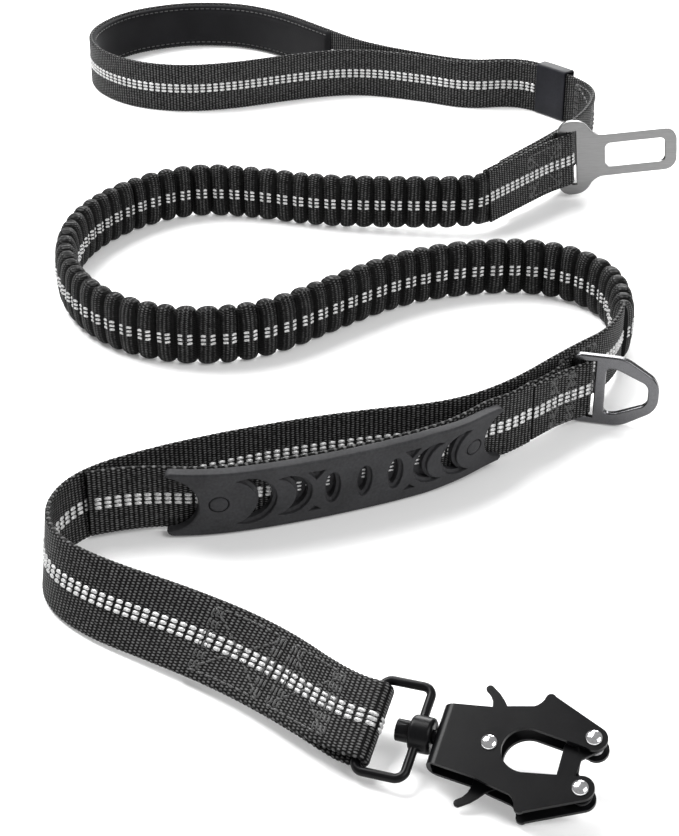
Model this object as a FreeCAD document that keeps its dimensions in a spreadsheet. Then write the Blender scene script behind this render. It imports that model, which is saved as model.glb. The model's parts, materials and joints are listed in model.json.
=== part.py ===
"""Elastic (bungee) dog leash: webbing, padded hand loop, seat-belt tongue, D-ring, traffic grip and a
locking swivel clip, lying on edge in an S. Millimetres, +Z up, origin at the middle of the footprint."""

import FreeCAD, Part
import math
import os

Vector = FreeCAD.Vector
UP = Vector(0, 0, 1)

doc = FreeCAD.newDocument("BungeeLeash")

# --- driving dimensions -------------------------------------------------------------------------
SIZES = {
    "webbing_width": 28.0,
    "webbing_thick": 2.2,
    "layer_gap": 0.25,
    "lining_thick": 2.2,
    "lining_width": 26.0,
    "sleeve_width": 26.0,
    "sleeve_thick": 9.0,
    "sleeve_wall": 2.0,
    "elastic_width": 21.0,
    "elastic_thick": 4.4,
    "keeper_length": 22.0,
    "keeper_wall": 1.2,
    "tongue_thick": 2.5,
    "tongue_blade": 22.5,
    "dring_thick": 3.0,
    "dring_height": 31.0,
    "ring_loop_width": 25.0,
    "fold_thick": 2.0,
    "fold_inner": 2.75,
    "grip_thick": 4.6,
    "grip_height": 29.0,
    "rivet_head_radius": 3.4,
    "rivet_shank_radius": 1.6,
    "swivel_wire": 3.0,
    "swivel_width": 36.0,
    "swivel_pin_radius": 2.2,
    "clip_plate": 1.3,
    "clip_inner_gap": 5.4,
    "clip_hole_radius": 7.55,
    "clip_fold_round": 3.4,
    "tongue_rim": 0.35,
    "trigger_rim": 0.2,
    "gate_rim": 0.3,
    "dring_rim": 0.7,
    "gate_thick": 1.2,
    "trigger_thick": 1.0,
    "centre_rivet_radius": 1.5,
    "gate_rivet_radius": 1.8,
    "running_gap": 0.06,
}
sheet = doc.addObject("Spreadsheet::Sheet", "Sizes")
for row, (alias, value) in enumerate(SIZES.items(), start=1):
    sheet.set("A%d" % row, str(value))
    sheet.setAlias("A%d" % row, alias)
doc.recompute()


def size(alias):
    """A driving dimension, read back from the sheet."""
    return float(getattr(sheet, alias))


# --- where the leash lies -----------------------------------------------------------------------
# A route is a list of (x, y, lift of the band's lower edge, lean in degrees). A positive lean tips
# the band's upper edge to the left of its direction of travel.
HANDLE_ROUTE = [
    (65, 88, 4, 0), (89, 114, 6, 0), (106, 140, 5, 0), (120, 173, 2, 0), (127.5, 210, 0, 0),
    (99, 243, 0, 0), (84, 251, 0, 0), (59, 245.5, 0, 0), (30, 260.5, 0, 0), (-5, 271, 0, 0),
    (-40, 262, 0, 0), (-74, 247, 0, 0), (-104, 240.5, 0, 0), (-134, 248, 0, 0),
    (-158, 272, 0, 0), (-166, 304, 0, 0), (-150, 339, 0, 0), (-122, 356, 0, 0), (-98, 360, 0, 0),
    (-74, 356, 0, 0), (-50, 340, 0, 0), (-26, 312, 0, 0), (-1, 283, 0, 0), (31, 264.4, 0, 0),
    (60, 249.8, 0, 0), (85, 254.4, 0, 0), (101, 246, 0, 0), (109, 236.7, 0, 0),
]
KEEPER_RUN = (4, 0.72)
LINING_FIRST, LINING_LAST = (-18, 267), (-19, 303.5)
BUNGEE_ROUTE = [
    (59.2, 77.2, 3.5, 0), (49, 71.8, 3, 0), (14, 75.5, 1.5, 0), (-26, 81, 0, 0), (-58, 92, 0, 0),
    (-90, 96, 0, 0), (-119, 77, 0, 0), (-139, 45, 0, 0), (-143.5, 8, 0, 0), (-133, -28, 0, 0),
    (-110, -56, 0, 0), (-78, -67, 0, 0), (-46, -59.5, 0, 0), (-16, -32, 0, 0), (14, -7, 0, 0),
    (48, 4.5, 0, 0), (80, 4.5, 0, 0), (103, -13, 0, 0), (110.5, -41, 0, 0), (106.5, -65, 0.5, 0),
]
LEAD_ROUTE = [
    (105.8, -65.6, 0.5, 0), (100, -89, 3, 0), (78, -110.5, 4, 0), (51.5, -138.2, 3, 0),
    (27, -148.5, 0, 0), (-8, -155, 0, 0), (-46, -166.5, 0, 0), (-82, -183, 0.1, -3),
    (-109, -200, 0.3, -4), (-120.5, -220, 0.15, 2), (-119, -243, 0.3, 12), (-104, -262, 0.8, 26),
    (-78, -279.5, 2.2, 38), (-48, -300.5, 3.9, 56),
]
STRAP_ROUTE = [
    (60.7, -136.8, 3, 0), (51.5, -144.6, 2, 2), (42, -148.5, 2, 3), (26, -161.5, 2, 9),
    (2, -174, 2, 10), (-32, -187.5, 2, 10), (-64, -196.5, 2, 9), (-90, -196.8, 2, 3),
    (-107, -202.6, 1.5, 0),
]
BUNGEE_LIFT = 0.6
GRIP_START, GRIP_LENGTH = 18.2, 136.0
ARC_SHARE = 0.45
ARC_STEP = math.radians(9)
FLAT = 1e-4

TONGUE_BAR = Vector(99.3, 115.8, 21.7)
TONGUE_YAW, TONGUE_PITCH = 3.0, 5.0
TONGUE_LOOP_YAW, TONGUE_LOOP_LENGTH = 224.0, 54.0
DRING_BAR = Vector(81.7, -114.7, 16.0)
DRING_YAW = -14.0
DRING_LOOP_YAW, DRING_LOOP_LENGTH = 224.6, 30.0
CLIP_CENTRE = Vector(31.0, -335.0, 12.0)
CLIP_YAW, CLIP_PITCH, CLIP_ROLL = -21.0, 2.5, 22.0
SWIVEL_BAR_X, SWIVEL_BOSS_X = -39.5, -23.2


# --- helpers ------------------------------------------------------------------------------------
def feature(label, shape, placement=None):
    """A Part::Feature that holds a shape made with Part's own functions."""
    item = doc.addObject("Part::Feature", label)
    item.Shape = shape
    if placement is not None:
        item.Placement = placement
    item.Label = label
    return item


def mixed(a, b, share):
    return tuple(u + (v - u) * share for u, v in zip(a, b))


def rounded_route(route):
    """Points, headings and (lift, lean) along straight runs joined by tangent arcs."""
    points = [Vector(p[0], p[1], 0) for p in route]
    extras = [(p[2], p[3]) for p in route]
    stations = [(points[0], (points[1] - points[0]).normalize(), extras[0])]
    radii = []
    for k in range(1, len(points) - 1):
        before, corner, after = points[k - 1:k + 2]
        arrive = (corner - before).normalize()
        leave = (after - corner).normalize()
        turn = math.atan2(arrive.cross(leave).z, arrive.dot(leave))
        reach = ARC_SHARE * min((corner - before).Length, (after - corner).Length)
        radius = reach / math.tan(abs(turn) / 2)
        radii.append(round(radius))
        start = corner - arrive * reach
        centre = start + UP.cross(arrive) * math.copysign(radius, turn)
        first = mixed(extras[k], extras[k - 1], reach / (corner - before).Length)
        last = mixed(extras[k], extras[k + 1], reach / (after - corner).Length)
        steps = max(2, math.ceil(abs(turn) / ARC_STEP))
        for i in range(steps + 1):
            share = i / steps
            spin = FreeCAD.Rotation(UP, math.degrees(turn) * share)
            point = centre + spin.multVec(start - centre)
            extra = mixed(mixed(first, extras[k], share), mixed(extras[k], last, share), share)
            stations.append((point, spin.multVec(arrive), extra))
    stations.append((points[-1], (points[-1] - points[-2]).normalize(), extras[-1]))
    print("radii", radii)
    return stations


def frames_of(route):
    """Frames (lower edge point, heading, width direction, normal) along a route."""
    frames = []
    for point, heading, (lift, lean) in rounded_route(route):
        left = UP.cross(heading)
        tip = math.radians(lean)
        width = UP * math.cos(tip) + left * math.sin(tip)
        frames.append((point + UP * lift, heading, width, width.cross(heading)))
    return frames


def section(frame, low, high, near, far):
    """A closed rectangle across a band: low to high over its width, near to far over its thickness."""
    point, _, width, normal = frame
    corners = [
        point + width * low + normal * near,
        point + width * high + normal * near,
        point + width * high + normal * far,
        point + width * low + normal * far,
    ]
    return Part.makePolygon(corners + corners[:1])


def band(frames, low, high, near, far):
    """A solid strip through a rectangle at each frame."""
    return Part.makeLoft([section(f, low, high, near, far) for f in frames], True, True)


def length_of(frames):
    return sum((b[0] - a[0]).Length for a, b in zip(frames, frames[1:]))


def stretch(frames, first, last):
    """The frames between two distances along the band, with a new frame at each end."""
    picked = []
    walked = 0.0
    for a, b in zip(frames, frames[1:]):
        step = (b[0] - a[0]).Length
        for wanted in (first, last):
            if walked <= wanted < walked + step:
                picked.append((wanted, blend_frames(a, b, (wanted - walked) / step)))
        walked += step
        if first < walked < last:
            picked.append((walked, b))
    picked.sort(key=lambda item: item[0])
    return [frame for _, frame in picked]


def blend_frames(a, b, share):
    point = a[0] + (b[0] - a[0]) * share
    heading = (a[1] + (b[1] - a[1]) * share).normalize()
    width = (a[2] + (b[2] - a[2]) * share).normalize()
    return (point, heading, width, width.cross(heading))


def station_near(frames, spot):
    """How far along the band its nearest frame to a spot lies."""
    walked, best = 0.0, (1e9, 0.0)
    for a, b in zip(frames, frames[1:]):
        away = (Vector(spot[0], spot[1], 0) - Vector(a[0].x, a[0].y, 0)).Length
        best = min(best, (away, walked))
        walked += (b[0] - a[0]).Length
    return best[1]


def outline(steps):
    """Sketch edges through corners (x, y); a corner (x, y, mx, my) is reached by an arc through mx, my."""
    edges = []
    for here, there in zip(steps, steps[1:] + steps[:1]):
        start, end = Vector(here[0], here[1], 0), Vector(there[0], there[1], 0)
        if len(there) == 4:
            edges.append(Part.Arc(start, Vector(there[2], there[3], 0), end))
        else:
            edges.append(Part.LineSegment(start, end))
    return edges


def rounded(corners):
    """Sketch edges of a closed outline whose corners (x, y, radius) are tangent arcs."""
    points = [Vector(x, y, 0) for x, y, _ in corners]
    arcs = []
    for k, (_, _, radius) in enumerate(corners):
        arrive = (points[k] - points[k - 1]).normalize()
        leave = (points[(k + 1) % len(points)] - points[k]).normalize()
        half_turn = arrive.getAngle(leave) / 2
        reach = radius * math.tan(half_turn)
        inward = (leave - arrive).normalize()
        middle = points[k] + inward * (radius / math.cos(half_turn) - radius)
        arcs.append((points[k] - arrive * reach, middle, points[k] + leave * reach))
    edges = []
    for here, there in zip(arcs, arcs[1:] + arcs[:1]):
        edges.append(Part.Arc(*here))
        edges.append(Part.LineSegment(here[2], there[0]))
    return edges


def circle(x, y, radius):
    return Part.Circle(Vector(x, y, 0), UP, radius)


def rounded_box(x0, x1, y0, y1, radius):
    """A rectangle with round corners, as sketch edges."""
    k = radius * (1 - math.sqrt(0.5))
    return outline([
        (x0 + radius, y0, x0 + k, y0 + k), (x1 - radius, y0), (x1, y0 + radius, x1 - k, y0 + k),
        (x1, y1 - radius), (x1 - radius, y1, x1 - k, y1 - k), (x0 + radius, y1),
        (x0, y1 - radius, x0 + k, y1 - k), (x0, y0 + radius),
    ])


def body_of(label, placement):
    body = doc.addObject("PartDesign::Body", label)
    body.Label = label
    body.Placement = placement
    return body


def sketch_on(body, role, geometry, offset=0.0):
    """A sketch on one of the body's own origin planes, moved along that plane's normal."""
    plane = [item for item in body.Origin.OriginFeatures if item.Role == role][0]
    sketch = body.newObject("Sketcher::SketchObject", body.Label + "_sketch")
    sketch.AttachmentSupport = (plane, [""])
    sketch.MapMode = "FlatFace"
    sketch.AttachmentOffset = FreeCAD.Placement(Vector(0, 0, offset), FreeCAD.Rotation())
    for item in geometry:
        sketch.addGeometry(item)
    return sketch


def pad(body, geometry, length, offset=0.0, midplane=False, role="XY_Plane"):
    """A pad whose length is an expression on the sheet."""
    sketch = sketch_on(body, role, geometry, offset)
    feat = body.newObject("PartDesign::Pad", body.Label + "_pad")
    feat.Profile = sketch
    feat.Midplane = midplane
    feat.setExpression("Length", length)
    sketch.Visibility = False
    return feat


def pocket(body, geometry, length, offset=0.0, role="XY_Plane"):
    """A symmetric pocket about its sketch plane."""
    sketch = sketch_on(body, role, geometry, offset)
    feat = body.newObject("PartDesign::Pocket", body.Label + "_pocket")
    feat.Profile = sketch
    feat.Midplane = True
    feat.setExpression("Length", length)
    return feat


def fillet(body, radius, wanted):
    """Rounds the edges of the body's tip that the test accepts; it is given each edge's bound box."""
    doc.recompute()
    tip = body.Tip
    names = ["Edge%d" % i for i, e in enumerate(tip.Shape.Edges, start=1) if wanted(e.BoundBox)]
    feat = body.newObject("PartDesign::Fillet", body.Label + "_fillet")
    feat.Base = (tip, names)
    feat.setExpression("Radius", radius)
    return feat


def in_plane(low, high, level):
    """True if an edge's bound box, from low to high along one axis, lies at a level on that axis."""
    return abs(low - level) < FLAT and abs(high - level) < FLAT


def rims(body, radius, levels):
    """Rounds every edge in the flat faces at these heights."""
    return fillet(body, radius, lambda box: any(in_plane(box.ZMin, box.ZMax, z) for z in levels))


def box_sketch(x0, x1, y0, y1):
    return outline([(x0, y0), (x1, y0), (x1, y1), (x0, y1)])


def upright(yaw, pitch=0.0):
    """Local X along the heading, local Y up, local Z towards the right of the heading."""
    turn = FreeCAD.Rotation(UP, yaw)
    tip = FreeCAD.Rotation(Vector(0, 1, 0), -pitch)
    stand = FreeCAD.Rotation(Vector(1, 0, 0), 90)
    return turn.multiply(tip).multiply(stand)


# --- hand loop ----------------------------------------------------------------------------------
def make_handle():
    half = size("webbing_thick") / 2
    frames = frames_of(HANDLE_ROUTE)
    print("handle webbing length %.0f" % length_of(frames))
    feature("handle_webbing", band(frames, 0, size("webbing_width"), -half, half))

    first = station_near(frames, LINING_FIRST)
    last = station_near(frames, LINING_LAST)
    inside = stretch(frames, first, last)
    skin = -half - 0.05
    edge = (size("webbing_width") - size("lining_width")) / 2
    lining = band(inside, edge, edge + size("lining_width"), skin - size("lining_thick"), skin)
    feature("handle_lining", lining)

    run_start = Vector(*HANDLE_ROUTE[KEEPER_RUN[0]][:2], 0)
    run_end = Vector(*HANDLE_ROUTE[KEEPER_RUN[0] + 1][:2], 0)
    heading = (run_end - run_start).normalize()
    middle = run_start + (run_end - run_start) * KEEPER_RUN[1]
    make_keeper(middle, heading)


def make_keeper(middle, heading):
    """A rubber sleeve round both layers of the loop's neck."""
    half = size("webbing_thick") / 2
    gap = size("layer_gap")
    wall = size("keeper_wall")
    tall = size("webbing_width")
    start = middle - heading * size("keeper_length") / 2
    ends = [(start + heading * d, heading, UP, UP.cross(heading)) for d in (0, size("keeper_length"))]
    near, far = -half - 4.2, half + gap
    outer = band(ends, 0, tall + 2 * wall, near - wall, far + wall)
    inner = band(ends, wall - 0.05, tall + wall + 0.05, near, far)
    feature("handle_keeper", outer.cut(inner))


# --- folded webbing loops -----------------------------------------------------------------------
def fold_outline(length, thick, bar_half):
    """Plan outline of a strip folded round a bar at the origin, its legs closing along +X."""
    inner = bar_half
    outer = bar_half + thick
    closed = 0.1
    neck = 15.0
    return outline([
        (0, outer), (-outer, 0, -outer * 0.7071, outer * 0.7071), (0, -outer, -outer * 0.7071, -outer * 0.7071),
        (neck, -closed - thick), (length, -closed - thick), (length, -closed), (neck, -closed),
        (0, -inner), (-inner, 0, -inner * 0.7071, -inner * 0.7071), (0, inner, -inner * 0.7071, inner * 0.7071),
        (neck, closed), (length, closed), (length, closed + thick), (neck, closed + thick),
    ])


def make_fold(label, bar, axis, yaw, length, width):
    """A strip folded round a plate's bar and sewn flat, its width along the bar's own axis."""
    along = Vector(math.cos(math.radians(yaw)), math.sin(math.radians(yaw)), 0)
    along = (along - axis * along.dot(axis)).normalize()
    turn = FreeCAD.Rotation(along, axis.cross(along), axis, "XYZ")
    body = body_of(label, FreeCAD.Placement(bar, turn))
    geometry = fold_outline(length, size("fold_thick"), size("fold_inner"))
    pad(body, geometry, width, midplane=True)


# --- seat-belt tongue ---------------------------------------------------------------------------
def make_tongue():
    turn = upright(TONGUE_YAW, TONGUE_PITCH)
    body = body_of("seat_belt_tongue", FreeCAD.Placement(TONGUE_BAR, turn))
    blade = size("tongue_blade") / 2
    geometry = rounded([
        (-2.2, -20.0, 6.5), (11.0, -20.0, 9), (16.8, -blade, 8), (59, -blade, 6.5),
        (59, blade, 6.5), (16.8, blade, 8), (11.0, 20.0, 9), (-2.2, 20.0, 6.5),
    ])
    pad(body, geometry, "Sizes.tongue_thick", midplane=True)
    pocket(body, box_sketch(2.2, 7.2, -14.6, 14.6), "Sizes.tongue_thick * 2")
    pocket(body, rounded_box(22, 53, -6.5, 6.5, 2.8), "Sizes.tongue_thick * 2")
    face = size("tongue_thick") / 2
    rims(body, "Sizes.tongue_rim", (-face, face))
    axis = turn.multVec(Vector(0, 1, 0))
    width = "Sizes.webbing_width"
    make_fold("tongue_webbing", TONGUE_BAR, axis, TONGUE_LOOP_YAW, TONGUE_LOOP_LENGTH, width)


# --- bungee -------------------------------------------------------------------------------------
def make_bungee():
    """A tubular sleeve with a flat elastic band running inside it."""
    frames = frames_of(BUNGEE_ROUTE)
    print("bungee length %.0f" % length_of(frames))
    tall, thick, wall = size("sleeve_width"), size("sleeve_thick"), size("sleeve_wall")
    low = BUNGEE_LIFT
    outer = band(frames, low, low + tall, -thick / 2, thick / 2)
    inner = band(frames, low + wall, low + tall - wall, wall - thick / 2, thick / 2 - wall)
    feature("bungee_sleeve", outer.cut(inner))
    middle = low + tall / 2
    half_tall, half_thick = size("elastic_width") / 2, size("elastic_thick") / 2
    feature("bungee_elastic", band(frames, middle - half_tall, middle + half_tall, -half_thick, half_thick))


# --- lead webbing, D-ring and traffic grip ------------------------------------------------------
def lead_frames():
    """The lead's frames, ending with a half turn round the swivel's bar and a sewn-back tail."""
    turn = clip_turn()
    across, normal, heading = (turn.multVec(v) for v in (Vector(0, 1, 0), UP, Vector(1, 0, 0)))
    bar = clip_point(SWIVEL_BAR_X, 0, 0)
    reach = size("swivel_wire") / 2 + 0.6 + size("webbing_thick") / 2
    edge = bar - across * size("webbing_width") / 2
    top = edge + normal * reach
    before = top - heading * 9
    lean = 90 - CLIP_ROLL
    route = LEAD_ROUTE + [(before.x, before.y, before.z, lean), (top.x, top.y, top.z, lean)]
    outward = frames_of(route)[:-1]
    bend = []
    for i in range(13):
        spin = FreeCAD.Rotation(across, 180.0 * i / 12)
        ahead = spin.multVec(heading)
        bend.append((edge + spin.multVec(normal * reach), ahead, across, across.cross(ahead)))
    return outward, bend


def tail_frames(outward, bend, length):
    """The sewn-back tail: the lead's own last frames, lower, taken backwards and closing up on it."""
    straight, closing = 7.0, 14.0
    reach = (bend[-1][0] - bend[0][0]).Length
    layer = size("webbing_thick") + 0.3
    total = length_of(outward)
    back = stretch(outward, total - length, total - 0.01)
    back.reverse()
    tail = []
    walked = 0.0
    for i, frame in enumerate(back):
        point, heading, width, normal = frame
        if i:
            walked += (point - back[i - 1][0]).Length
        share = min(1.0, max(0.0, walked - straight) / closing)
        drop = reach - (reach - layer) * share
        tail.append((point + normal * drop, -heading, width, -normal))
    return tail


def make_lead():
    half = size("webbing_thick") / 2
    outward, bend = lead_frames()
    tail = tail_frames(outward, bend, 74.0)
    frames = outward + bend + tail[1:]
    print("lead webbing length %.0f" % length_of(frames))
    feature("lead_webbing", band(frames, 0, size("webbing_width"), -half, half))


def make_d_ring():
    turn = upright(DRING_YAW)
    body = body_of("d_ring", FreeCAD.Placement(DRING_BAR, turn))
    half = size("dring_height") / 2
    geometry = rounded([
        (-2.2, -half, 3.2), (18.5, -half, 13), (33, -6.5, 9), (33, 6.5, 9), (18.5, half, 13),
        (-2.2, half, 3.2),
    ])
    pad(body, geometry, "Sizes.dring_thick", midplane=True)
    pocket(body, box_sketch(2.2, 7.0, -12.9, 12.9), "Sizes.dring_thick * 2")
    hole = rounded([
        (11.2, -10.2, 2), (15.5, -10.2, 10), (28.6, -4.4, 4.2), (28.6, 4.4, 4.2), (15.5, 10.2, 10),
        (11.2, 10.2, 2),
    ])
    pocket(body, hole, "Sizes.dring_thick * 2")
    face = size("dring_thick") / 2
    rims(body, "Sizes.dring_rim", (-face, face))
    width = "Sizes.ring_loop_width"
    make_fold("d_ring_webbing", DRING_BAR, UP, DRING_LOOP_YAW, DRING_LOOP_LENGTH, width)


def crescent(tip, height, outer, inner):
    """A crescent window: two arcs between the same tips."""
    return outline([(tip, -height, inner, 0), (tip, height, outer, 0)])


def ellipse(x, wide, tall):
    return [Part.Ellipse(Vector(x, tall / 2, 0), Vector(x + wide / 2, 0, 0), Vector(x, 0, 0))]


def triangle(x, wide, base, apex):
    return outline([(x - wide / 2, base), (x + wide / 2, base), (x, apex)])


def grip_windows():
    """Each window as its place along the grip, from the clip side, and its edges about that place."""
    return [
        (30.0, crescent(-5.5, 10.2, 9.5, 2.0)), (46.0, crescent(-6.2, 8.8, 6.8, 0.6)),
        (60.5, ellipse(0, 6.2, 15)), (73.0, ellipse(0, 6.2, 15)), (85.5, ellipse(0, 6.2, 15)),
        (99.0, crescent(6.2, 8.8, -6.4, -0.4)), (112.0, crescent(6.0, 10.2, -7.5, -0.4)),
        (54.0, triangle(0, 6.5, 9.5, 5.5)), (54.0, triangle(0, 5.0, -9.6, -7.4)),
        (92.0, triangle(0, 6.5, 9.5, 5.5)), (92.0, triangle(0, 5.0, -9.6, -7.4)),
    ]


def grip_ends():
    """The swallow-tail notches at the grip's two ends, and the taper towards the D-ring."""
    tip = size("grip_height") / 2 + 0.5
    return [
        (0.0, outline([(-8, -tip), (0.0, -tip + 2.5), (0.0, tip - 2.5, 11.5, 0), (-8, tip)])),
        (GRIP_LENGTH, outline([(8, -tip), (0.0, -tip + 4.5), (0.0, tip - 4.5, -10.0, 0), (8, tip)])),
        (GRIP_LENGTH, outline([(-36, tip), (-36, tip - 0.5), (8, tip - 3.6), (8, tip)])),
        (GRIP_LENGTH, outline([(-36, -tip), (-36, 0.5 - tip), (8, 3.6 - tip), (8, -tip)])),
    ]


def placed_on(frames, station, lift):
    """The frame at a station as a placement: X back along the band, Y up its width, Z out of it."""
    point, heading, width, normal = stretch(frames, station, station + 0.5)[0]
    turn = FreeCAD.Rotation(-heading, width, normal, "XYZ")
    return FreeCAD.Placement(point + width * lift, turn)


def make_grip():
    half = size("webbing_thick") / 2
    frames = frames_of(STRAP_ROUTE)
    print("grip strap length %.0f" % length_of(frames))
    strap = band(frames, 0, size("webbing_width"), -half, half)
    lift = size("webbing_width") / 2
    tall, thick = size("grip_height"), size("grip_thick")
    on_strap = stretch(frames, GRIP_START, GRIP_START + GRIP_LENGTH)
    pad_shape = band(on_strap, lift - tall / 2, lift + tall / 2, half + 0.1, half + thick)
    cuts = []
    for place, edges in grip_windows() + grip_ends():
        wire = Part.Wire([e.toShape() for e in edges])
        tool = Part.Face(wire).extrude(Vector(0, 0, 30))
        tool.translate(Vector(0, 0, -12))
        tool.Placement = placed_on(frames, GRIP_START + GRIP_LENGTH - place, lift).multiply(tool.Placement)
        cuts.append(tool)
    shank, head = size("rivet_shank_radius"), size("rivet_head_radius")
    rivets, washers = [], []
    for place in (18.5, 120.0):
        spot = placed_on(frames, GRIP_START + GRIP_LENGTH - place, lift)
        face = half + thick
        bore = Part.makeCylinder(shank, 20, Vector(0, 0, -10))
        seat = Part.makeCylinder(head, 5, Vector(0, 0, face - 1.2))
        rivet = Part.makeCylinder(shank, face + half + 1.4, Vector(0, 0, -half - 1.4))
        rivet = rivet.fuse(Part.makeCylinder(head, 1.3, Vector(0, 0, face - 1.2)))
        washer = Part.makeCylinder(3.2, 0.7, Vector(0, 0, -half - 0.9))
        washer = washer.cut(Part.makeCylinder(shank, 2, Vector(0, 0, -half - 1.5)))
        for shape in (bore, seat, rivet, washer):
            shape.Placement = spot.multiply(shape.Placement)
        strap = strap.cut(bore)
        cuts += [bore, seat]
        rivets.append(rivet)
        washers.append(washer)
    feature("grip_strap", strap)
    feature("grip_pad", pad_shape.cut(Part.makeCompound(cuts)))
    feature("grip_rivets", Part.makeCompound(rivets))
    feature("grip_washers", Part.makeCompound(washers))


# --- swivel -------------------------------------------------------------------------------------
def clip_turn():
    """Local X towards the clip's mouth, Y across it, Z out of its upper plate."""
    turn = FreeCAD.Rotation(UP, CLIP_YAW).multiply(FreeCAD.Rotation(Vector(0, 1, 0), -CLIP_PITCH))
    return turn.multiply(FreeCAD.Rotation(Vector(1, 0, 0), CLIP_ROLL))


def clip_place():
    return FreeCAD.Placement(CLIP_CENTRE, clip_turn())


def clip_point(x, y, z):
    return clip_place().multVec(Vector(x, y, z))


def make_swivel():
    wire = size("swivel_wire") / 2
    half = size("swivel_width") / 2 - wire
    left, right = SWIVEL_BAR_X, SWIVEL_BOSS_X
    path = Part.Wire([e.toShape() for e in rounded_box(left, right, -half, half, 3.2)])
    start = path.Edges[0]
    at = start.valueAt(start.FirstParameter)
    tangent = start.tangentAt(start.FirstParameter)
    profile = Part.Wire([Part.Circle(at, tangent, wire).toShape()])
    loop = path.makePipeShell([profile], True, True)
    pin = size("swivel_pin_radius")
    boss = Part.makeCylinder(5.8, 7.2, Vector(right - 2.2, 0, 0), Vector(1, 0, 0))
    boss = boss.makeFillet(1.2, [e for e in boss.Edges if abs(e.Length - 2 * math.pi * 5.8) < 0.1])
    bore = Part.makeCylinder(pin + size("running_gap"), 20, Vector(right - 8, 0, 0), Vector(1, 0, 0))
    feature("swivel_loop", loop.fuse(boss).cut(bore), clip_place())
    x_axis = Vector(1, 0, 0)
    shaft = Part.makeCylinder(pin, 13.0, Vector(right - 3.6, 0, 0), x_axis)
    knob = Part.makeCylinder(3.5, 4.4, Vector(right - 6.8, 0, 0), x_axis)
    rivet_end = Part.makeCylinder(2.5, 1.4, Vector(-15.75, 0, 0), x_axis)
    feature("swivel_pin", shaft.fuse([knob, rivet_end]), clip_place())


# --- clip ---------------------------------------------------------------------------------------
GATE_PIVOT_X, GATE_PIVOT_Y = 30.4, 8.6


def make_clip_body():
    """Two plates joined by a fold, with an open mouth that the gates close."""
    body = body_of("clip_body", clip_place())
    hole_x, radius = 11.5, size("clip_hole_radius")
    upper = [
        (12.3, radius - 0.05), (20.5, 6.2), (28.7, 5.0), (32.4, 12.1, 34.4, 7.2), (15.8, 19.9),
        (12.8, 19.2, 13.9, 20.5), (10.0, 15.2, 11.7, 16.6), (3.3, 13.7), (-2.0, 12.2), (-17.5, 10.3),
    ]
    edges = []
    for sign in (1, -1):
        for here, there in zip(upper, upper[1:]):
            start, end = Vector(here[0], sign * here[1], 0), Vector(there[0], sign * there[1], 0)
            if len(there) == 4:
                edges.append(Part.Arc(start, Vector(there[2], sign * there[3], 0), end))
            else:
                edges.append(Part.LineSegment(start, end))
    fold_x, fold_half = upper[-1]
    edges.append(Part.LineSegment(Vector(fold_x, fold_half, 0), Vector(fold_x, -fold_half, 0)))
    mouth_x, mouth_y = upper[0]
    edges.append(Part.Arc(
        Vector(mouth_x, mouth_y, 0), Vector(hole_x - radius, 0, 0), Vector(mouth_x, -mouth_y, 0)))
    pad(body, edges, "Sizes.clip_inner_gap + 2 * Sizes.clip_plate", midplane=True)
    face = size("clip_inner_gap") / 2 + size("clip_plate")
    fillet(body, "Sizes.clip_fold_round", lambda box: in_plane(box.XMin, box.XMax, fold_x) and (
        in_plane(box.ZMin, box.ZMax, face) or in_plane(box.ZMin, box.ZMax, -face)))
    pocket(body, box_sketch(-15.9, 40, -25, 25), "Sizes.clip_inner_gap")
    rivets = [circle(0, 0, size("centre_rivet_radius"))]
    rivets += [circle(GATE_PIVOT_X, s * GATE_PIVOT_Y, size("gate_rivet_radius")) for s in (1, -1)]
    pocket(body, rivets, "Sizes.clip_inner_gap * 3")
    pocket(body, [circle(0, 0, size("swivel_pin_radius"))], "40 mm", role="YZ_Plane")


def dome_rivet(x, y, radius, head, rise):
    """A shank with a domed head on each plate."""
    reach = size("clip_inner_gap") / 2 + size("clip_plate")
    ball = (head * head + rise * rise) / (2 * rise)
    shape = Part.makeCylinder(radius, 2 * reach, Vector(0, 0, -reach))
    for sign in (1, -1):
        sphere = Part.makeSphere(ball, Vector(0, 0, sign * (reach + rise - ball)))
        slab = Part.makeBox(8, 8, rise, Vector(-4, -4, reach if sign > 0 else -reach - rise))
        shape = shape.fuse(sphere.common(slab))
    shape.translate(Vector(x, y, 0))
    return shape


def make_rivets():
    feature("centre_rivet", dome_rivet(0, 0, size("centre_rivet_radius"), 2.65, 1.3), clip_place())
    pair = [
        dome_rivet(GATE_PIVOT_X, s * GATE_PIVOT_Y, size("gate_rivet_radius"), 2.65, 1.3) for s in (1, -1)
    ]
    feature("gate_rivets", Part.makeCompound(pair), clip_place())


def flip(steps, sign):
    """An outline with its y values multiplied by sign."""
    return [tuple(v * sign if i % 2 else v for i, v in enumerate(step)) for step in steps]


def make_trigger(label, sign):
    """A thumb lever on the centre rivet whose nose lifts the gate's stub."""
    steps = flip([
        (-3.4, 0), (2.9, -1.8, 0.4, -3.4), (3.3, 1.0), (4.6, 5.2), (8.0, 8.4), (12.5, 8.8),
        (20.8, 7.4), (23.2, 5.6), (26.4, 5.6), (26.4, 6.15), (24.1, 6.15), (23.8, 10.2),
        (12.0, 11.8), (5.0, 11.8), (1.8, 14.1), (0.2, 16.2), (-1.8, 18.2), (-4.6, 20.2),
        (-6.0, 18.1, -6.3, 19.7), (-4.4, 16.8), (-3.2, 15.0), (-2.5, 12.0), (-2.8, 6.0),
    ], sign)
    body = body_of(label, clip_place())
    hole = circle(0, 0, size("centre_rivet_radius") + size("running_gap"))
    low = 1.5
    offset = low if sign > 0 else -low - size("trigger_thick")
    pad(body, outline(steps) + [hole], "Sizes.trigger_thick", offset=offset)
    rims(body, "Sizes.trigger_rim", (offset, offset + size("trigger_thick")))


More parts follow.
